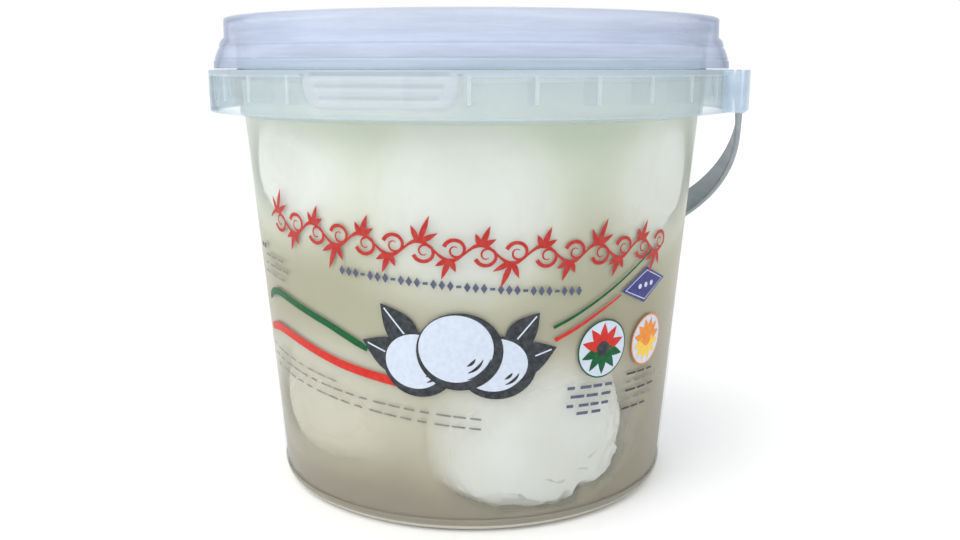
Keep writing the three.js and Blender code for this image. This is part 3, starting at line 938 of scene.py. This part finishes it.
def draw_cheeses(sheet):
    """White balls shaded in black on dark leaves: a plain picture of what the tub holds."""
    u0, v0 = on_wall(15, 43)
    for du, dv, length, width, way in (
        (-9, -2, 14, 8.5, 158),
        (-9, 2, 13, 7, 128),
        (10, -2, 13, 8, 18),
        (11, 2, 11, 6.5, 50),
    ):
        u, v = u0 + du, v0 + dv
        sheet.leaf((u, v), length, width, way, "black")
        up, along = (length * part for part in heading(way))
        sheet.strip([(u + along * k, v + up * k) for k in (0.3, 0.6, 0.9)], 0.35, "white", 1)
    balls = ((-8.5, -1.5, 8.4, 7.6), (9.0, -2.0, 8.8, 7.4), (0.5, 1.8, 9.6, 9.0))
    for i, (du, dv, ru, rv) in enumerate(balls):
        u, v, layer = u0 + du, v0 + dv, 2 + 3 * i
        sheet.ellipse((u, v), ru, rv, "black", layer, count=44)
        sheet.ellipse((u - 0.8, v + 0.7), ru - 1.35, rv - 1.2, "white", layer + 1, count=44)
        for k in range(3):
            reach, spread = 0.74 - 0.17 * k, 0.55 - 0.1 * k
            turns = np.linspace(-0.25 * math.pi - spread, -0.25 * math.pi + spread, 5)
            fold = [(u + ru * reach * math.cos(w), v + rv * reach * math.sin(w)) for w in turns]
            width = lambda s: 0.62 * math.sin(math.pi * s) + 0.08
            sheet.strip(fold, width, "black", layer + 2, steps=5)


def draw_rosette(sheet, middle, radius, petals, colours, eye, rim):
    """A flower of pointed petals on a white disc."""
    sheet.ellipse(middle, radius, radius, rim, 0, count=48)
    sheet.ellipse(middle, radius - 0.35, radius - 0.35, "white", 1, count=48)
    for k in range(petals):
        way = 360 * (k + 0.5) / petals
        sheet.leaf(middle, radius - 0.8, 2.4, way, colours[k * len(colours) // petals], 2)
    sheet.ellipse(middle, radius * 0.26, radius * 0.26, eye, 3, count=24)


def draw_badge(sheet):
    """A plain dark lozenge with a pale border and three dots."""
    u, v = on_wall(65, 56.4)
    outline = lambda a, b: [(u - a, v - 0.5), (u, v - b), (u + a, v + 0.5), (u, v + b)]
    sheet.area(outline(8.4, 4.3), "navy", 0)
    sheet.area(outline(7.3, 3.6), "white", 1)
    sheet.area(outline(6.9, 3.35), "navy", 2)
    for shift in (-2.2, 0, 2.2):
        sheet.ellipse((u + shift, v + shift * 0.06), 0.62, 0.62, "white", 3, count=16)


def draw_small_rows(sheet):
    """Rows of short faint bars where the small print stands."""
    for a0, z0, a1, z1, bars, thick, colour in (  # both ends' angle and height, number of bars
        (-48, 63.6, -44, 63.4, 2, 1.2, "black"),
        (-45, 61.6, -33, 60.9, 3, 0.6, "grey"),
        (-46, 59.4, -31, 58.5, 4, 0.6, "grey"),
        (-47, 57.2, -33, 56.2, 3, 0.5, "grey"),
        (-48, 38.4, -16, 34.6, 8, 0.4, "grey"),
        (-47, 35.9, 22, 28.6, 17, 0.45, "grey"),
        (-46, 33.4, 22, 26.2, 16, 0.45, "grey"),
        (42, 34.6, 57, 33.8, 4, 0.75, "slate"),
        (43, 32.4, 57, 31.6, 3, 0.75, "slate"),
        (42, 30.2, 56, 29.4, 4, 0.75, "slate"),
        (45, 28.1, 54, 27.6, 2, 0.75, "slate"),
        (61, 35.0, 74, 34.4, 3, 0.5, "black"),
        (61, 32.9, 75, 32.3, 4, 0.5, "grey"),
        (61, 30.8, 76, 30.2, 3, 0.5, "black"),
        (61, 28.7, 75, 28.1, 4, 0.5, "grey"),
        (60, 26.4, 72, 25.9, 3, 0.5, "black"),
    ):
        start, end = np.array(on_wall(a0, z0)), np.array(on_wall(a1, z1))
        for k in range(bars):
            length = 0.55 + 0.3 * ((k * 7 + bars) % 4) / 3
            first = start + (end - start) * k / bars
            last = start + (end - start) * (k + length) / bars
            line = [tuple(first), tuple((first + last) / 2), tuple(last)]
            sheet.strip(line, thick, colour, steps=3)


def make_print():
    sheet = Sheet()
    draw_stripes(sheet)
    draw_flourish(sheet)
    draw_lozenges(sheet)
    draw_cheeses(sheet)
    draw_rosette(sheet, on_wall(51.6, 43), 7.0, 10, ("red", "green"), "black", "green")
    draw_rosette(sheet, on_wall(68.2, 42.4), 6.3, 12, ("orange", "yellow"), "orange", "orange")
    draw_badge(sheet)
    draw_small_rows(sheet)
    looks = [ink(name, *colours) for name, colours in INK_COLOURS.items()]
    piece("wall_print", sheet.points, sheet.faces, looks, indices=sheet.indices, merge=0)


# -------- cheeses and whey


def softly_below(value, limit, give):
    """The value, eased off as it comes up to the limit, which it never passes."""
    over = (value - limit) / give
    return limit - give * math.log1p(math.exp(-over)) if over > -20 else value


def pressed_by_tub(point):
    """Keeps a point of a soft cheese off the tub's wall and floor, and out of their corner."""
    point.z = max(point.z, CHEESE_FLOOR)
    room = wall_inside(point.z) - WALL_GAP - max(0.0, CHEESE_FLOOR + CHEESE_CORNER - point.z)
    radius = math.hypot(point.x, point.y)
    share = softly_below(radius, room, SKIN_GIVE) / max(radius, 1.0)
    point.x *= share
    point.y *= share


def pressed_by(point, ball, other):
    """Keeps a point on its own side of the flat where two cheeses meet."""
    centre = Vector(ball[0])
    away = Vector(other[0]) - centre
    distance = away.length
    away.normalize()
    reach, other_reach = ball[1][0] + ball[1][2], other[1][0] + other[1][2]
    limit = distance * reach / (reach + other_reach) - MEETING_GAP
    along = (point - centre).dot(away)
    point -= away * (along - softly_below(along, limit, SKIN_GIVE))


def skin_relief(direction, phase, torn_side):
    """Folds, fine threads and torn flakes of the pulled skin, in millimetres outwards."""
    seed = Vector((phase * 7.1, phase * 3.7, phase * 5.3))
    x, y, z = direction
    dents = noise.noise(direction * 2.2 + seed)
    folded = noise.noise(Vector((x * 3.4, y * 3.4, z * 1.3)) + seed)
    fold = -max(0.0, 1 - (folded / FOLD_SPREAD) ** 2) ** 2
    threads = noise.noise(Vector((x * 15, y * 15, z * 6)) + seed)
    flakes = 1 - abs(noise.noise(direction * 5.5 + seed)) / FLAKE_SPREAD
    torn = max(0.0, direction.dot(Vector(torn_side)) - FLAKES_FROM) * max(0.0, flakes)
    return DENTS * dents + FOLDS * fold + THREADS * threads + FLAKES * torn


def make_cheese(name, skin):
    """A full, soft ball, pressed flat where it meets its neighbours, the wall and the floor."""
    centre, half, lean, phase = ball = BALLS[name]
    work = bmesh.new()
    bmesh.ops.create_icosphere(work, subdivisions=BALL_DETAIL, radius=1.0)
    turn = Matrix.Rotation(math.radians(lean), 3, "Y")
    others = [other for key, other in BALLS.items() if key != name]
    for vert in work.verts:
        p = vert.co.normalized()
        direction = p.copy()
        swell = (
            math.sin(2.3 * p.x + 1.7 * p.z + phase)
            + math.sin(2.9 * p.y - 2.1 * p.x + 2 * phase)
            + 0.6 * math.sin(4.7 * p.z + 3.1 * p.y + 3 * phase)
        )
        full = math.hypot(p.x, p.y) ** BALL_FULLNESS + abs(p.z) ** BALL_FULLNESS
        p *= (1 + BALL_UNEVENNESS * swell) / full ** (1 / BALL_FULLNESS)
        p = turn @ Vector((p.x * half[0], p.y * half[1], p.z * half[2])) + Vector(centre)
        p += (turn @ direction) * skin_relief(direction, phase, TORN_SIDES.get(name, (0, 0, 0)))
        for other in others:
            pressed_by(p, ball, other)
        pressed_by_tub(p)
        vert.co = p
    points, faces = points_and_faces(work)
    made = piece("cheese_" + name, points, faces, [skin], merge=0)
    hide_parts("ball_" + name)
    return points, faces


def sharp_share(point):
    """1 where torn flakes show sharply through the whey, and 0 away from them."""
    share = 0.0
    for name, side in TORN_SIDES.items():
        away = Vector(point) - Vector(BALLS[name][0])
        along = away.normalized().dot(Vector(side))
        share = max(share, min(1.0, (along - SHARP_FROM) / SHARP_BLEND))
    return share


def whey_shares(points, tree):
    """For each point on the whey's outside, how much the whey hides there and how much the
    cheeses near it light it."""
    cloud, glow = [], []
    fan = [
        (math.radians(tilt), math.radians(turn), weight)
        for tilt, turns, weight in RAY_FAN
        for turn in evenly(turns)
    ]
    most_seen = sum(math.cos(tilt) for tilt, _, _ in fan)
    most_clear = sum(weight for _, _, weight in fan)
    for x, y, z in points:
        radius = math.hypot(x, y)
        if radius < CORE_RADIUS:
            cloud.append(CORE_CLOUD)
            glow.append(CORE_GLOW)
            continue
        inward = Vector((-x / radius, -y / radius, 0.0))
        side = Vector((inward.y, -inward.x, 0.0))
        height = min(max(z, CHEESE_FLOOR + 0.1), WHEY_LEVEL - 0.5)
        start = Vector((x, y, height)) + inward * 0.1
        seen, clear = 0.0, 0.0
        clear_depth = CLEAR_DEPTHS[0] + (CLEAR_DEPTHS[1] - CLEAR_DEPTHS[0]) * z / WHEY_LEVEL
        clear_depth += (TORN_CLEAR_DEPTH - clear_depth) * sharp_share((x, y, z))
        for tilt, turn, weight in fan:
            across = side * math.cos(turn) + Vector((0, 0, math.sin(turn)))
            way = inward * math.cos(tilt) + across * math.sin(tilt)
            depth = tree.ray_cast(start, way, RAY_LENGTH)[3]
            if depth is not None:
                seen += math.cos(tilt) * math.exp(-depth / GLOW_REACH)
                clear += weight * math.exp(-((depth / clear_depth) ** CLEAR_POWER))
        glow.append(seen / most_seen)
        cloud.append(min(MOST_CLOUD, max(LEAST_CLOUD, 1 - clear / most_clear)))
    return cloud, glow


def blurred(values, edges):
    """Values at a mesh's points, spread out along its edges."""
    near = np.bincount(edges.ravel(), minlength=len(values))
    for _ in range(WHEY_BLUR):
        total = np.bincount(edges[:, 0], values[edges[:, 1]], len(values))
        total += np.bincount(edges[:, 1], values[edges[:, 0]], len(values))
        values = 0.5 * values + 0.5 * total / near
    return values


def make_whey(liquid, tree):
    """The whey fills the tub. It reaches into the wall, so that no gap shows."""
    low = FLOOR_TOP - WHEY_INTO_WALL
    profile = [
        (0, low),
        (wall_inside(low) - 0.4, low),
        (wall_inside(WHEY_CORNER) + WHEY_INTO_WALL, WHEY_CORNER),
        (wall_inside(WHEY_LEVEL) + WHEY_INTO_WALL, WHEY_LEVEL + 0.5),
        (wall_inside(WHEY_LEVEL) - 0.8, WHEY_LEVEL),
        (0, WHEY_LEVEL - 0.1),
    ]
    profile = with_rows(soften(profile, 0.5, 3), lambda r, z: r > 40 and z < WHEY_LEVEL, 1.4)
    points, faces = turned(profile, evenly(300))
    made = piece("whey", points, faces, [liquid])
    made.visible_shadow = False
    made.visible_diffuse = False
    places = [tuple(v.co / MM) for v in made.data.vertices]
    sharp = np.array([sharp_share(place) for place in places])
    edges = np.array([edge.vertices[:] for edge in made.data.edges])
    for name, values in zip(("cloud", "glow"), whey_shares(places, tree)):
        values = np.array(values)
        values = sharp * values + (1 - sharp) * blurred(values, edges)
        if name == "cloud":
            values *= 1 + VEIL_GAIN * (1 - sharp)
            values = np.clip(values, SOFT_VEIL * (1 - sharp), MOST_CLOUD)
        attribute = made.data.attributes.new(name, "FLOAT", "POINT")
        attribute.data.foreach_set("value", values)


# -------- build

wall_plastic = moulded_plastic("wall_plastic", 0.32, (0.5, 0.6, 0.64), 16.0, 0.03)
collar_plastic = moulded_plastic("collar_plastic", 0.32, (0.36, 0.52, 0.64), 128.0, 0.03)
# Its stronger streaks are partly painted reflection
lid_plastic = moulded_plastic("lid_plastic", 0.32, (0.4, 0.48, 0.62), 112.0, 0.06)
strap_plastic = moulded_plastic("strap_plastic", 0.38, (0.3, 0.5, 0.55), 60.0, 0.04)
white_skin = cheese_skin("cheese_white", srgb(218, 221, 219), srgb(206, 209, 202))
cream_skin = cheese_skin("cheese_cream", srgb(194, 190, 173), srgb(181, 176, 158))

make_tub(wall_plastic)
make_collar(collar_plastic)
make_lid(lid_plastic)
make_handle(strap_plastic)

skins = {"left_bottom": cream_skin}
cheeses = [make_cheese(name, skins.get(name, white_skin)) for name in BALLS]
make_print()
make_whey(cloudy_whey(), BVHTree.FromPolygons(*joined(*cheeses)))

# -------- stage, light and camera

# Metres for the floor and the key light, and millimetres for the camera
FLOOR_SIZE = 6.0
FLOOR_STEPS = 12
FLOOR_DROP = 0.00005  # keeps it clear of the foot ring
KEY_PLACE, KEY_AIM = Vector((-0.9, -1.9, 1.9)), Vector((0, 0, 0.06))
KEY_SIZE = 1.6
KEY_WATTS = 20.0
KEY_COLOUR = (1.0, 0.99, 0.97)
SKY_STRENGTH = 0.9
SKY_SPREAD = math.radians(50)
SKY_LEAN = (math.radians(18), math.radians(-12), 0)
CAMERA_TURN = math.radians(18)
CAMERA_PITCH = 0.2
CAMERA_AWAY = 265.4
CAMERA_ASIDE = 2.13
CAMERA_HEIGHT = 105.9
CAMERA_LENS = 37.366


def make_floor():
    row = FLOOR_STEPS + 1
    side = [FLOOR_SIZE * (i / FLOOR_STEPS - 0.5) for i in range(row)]
    corners = [(x, y, -FLOOR_DROP) for y in side for x in side]
    starts = [j * row + i for j in range(FLOOR_STEPS) for i in range(FLOOR_STEPS)]
    mesh = bpy.data.meshes.new("stage_floor")
    mesh.from_pydata(corners, [], [(a, a + 1, a + row + 1, a + row) for a in starts])
    mesh.materials.append(plain_floor())
    floor = placed("stage_floor", mesh)


def make_lights():
    """A white studio, a large soft key light on the left in front, and soft light from above."""
    world = bpy.data.worlds.new("studio")
    world.use_nodes = True
    background = world.node_tree.nodes["Background"].inputs
    background["Color"].default_value = (1.0, 1.0, 1.0, 1.0)
    background["Strength"].default_value = 1.0
    bpy.context.scene.world = world
    lamp = bpy.data.lights.new("key", "AREA")
    lamp.shape = "DISK"
    lamp.size = KEY_SIZE
    lamp.energy = KEY_WATTS
    lamp.color = KEY_COLOUR
    key = placed("key", lamp)
    key.location = KEY_PLACE
    key.rotation_euler = (KEY_AIM - KEY_PLACE).to_track_quat("-Z", "Y").to_euler()
    sun = bpy.data.lights.new("sky", "SUN")
    sun.energy = SKY_STRENGTH
    sun.angle = SKY_SPREAD
    placed("sky", sun).rotation_euler = SKY_LEAN


def make_camera():
    camera = bpy.data.cameras.new("camera")
    camera.sensor_width = 36.0
    camera.lens = CAMERA_LENS
    camera.clip_start = 0.01
    camera.clip_end = 20.0
    eye = placed("camera", camera)
    sine, cosine = math.sin(CAMERA_TURN), math.cos(CAMERA_TURN)
    eye.location = (
        (CAMERA_ASIDE * cosine + CAMERA_AWAY * sine) * MM,
        (CAMERA_ASIDE * sine - CAMERA_AWAY * cosine) * MM,
        CAMERA_HEIGHT * MM,
    )
    eye.rotation_euler = (math.pi / 2 - CAMERA_PITCH, 0, CAMERA_TURN)
    bpy.context.scene.camera = eye


make_floor()
make_lights()
make_camera()
bpy.context.scene.view_settings.view_transform = "Standard"
bpy.context.scene.cycles.transparent_max_bounces = 24
